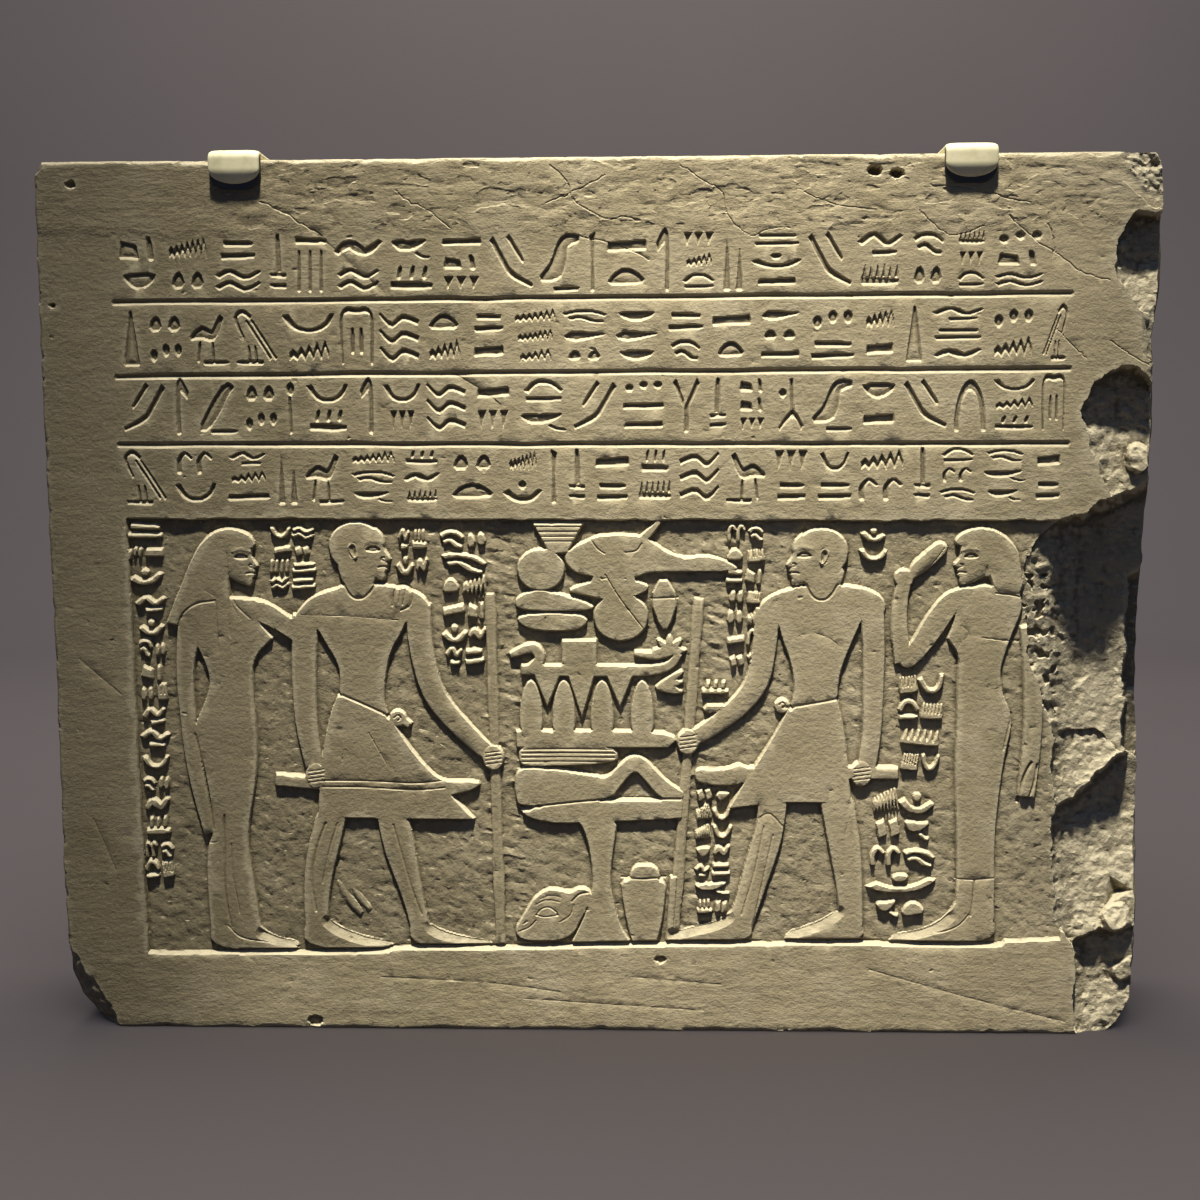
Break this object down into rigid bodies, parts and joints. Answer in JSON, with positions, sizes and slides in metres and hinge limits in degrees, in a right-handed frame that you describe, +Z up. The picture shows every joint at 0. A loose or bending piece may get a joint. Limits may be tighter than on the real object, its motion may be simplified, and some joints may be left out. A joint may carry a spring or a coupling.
{
  "type": "carved stone stele",
  "caption": "Upright limestone slab with incised text rows over a sunk panel of couples facing across an offering table, its right edge broken away, under padded clips.",
  "frame": {"origin": "on the ground under the middle of the whole object's box", "axes": "+Z up the slab, +X to the right as the carved face is seen, -Y out of the carved face"},
  "size_m": [0.614, 0.101, 0.4833],
  "materials": {
    "limestone": "matt",
    "painted_clip": "satin"
  },
  "bodies": {
    "root": {"stele_slab": "limestone", "clip_left": "painted_clip", "clip_right": "painted_clip"}
  },
  "joints": []
}
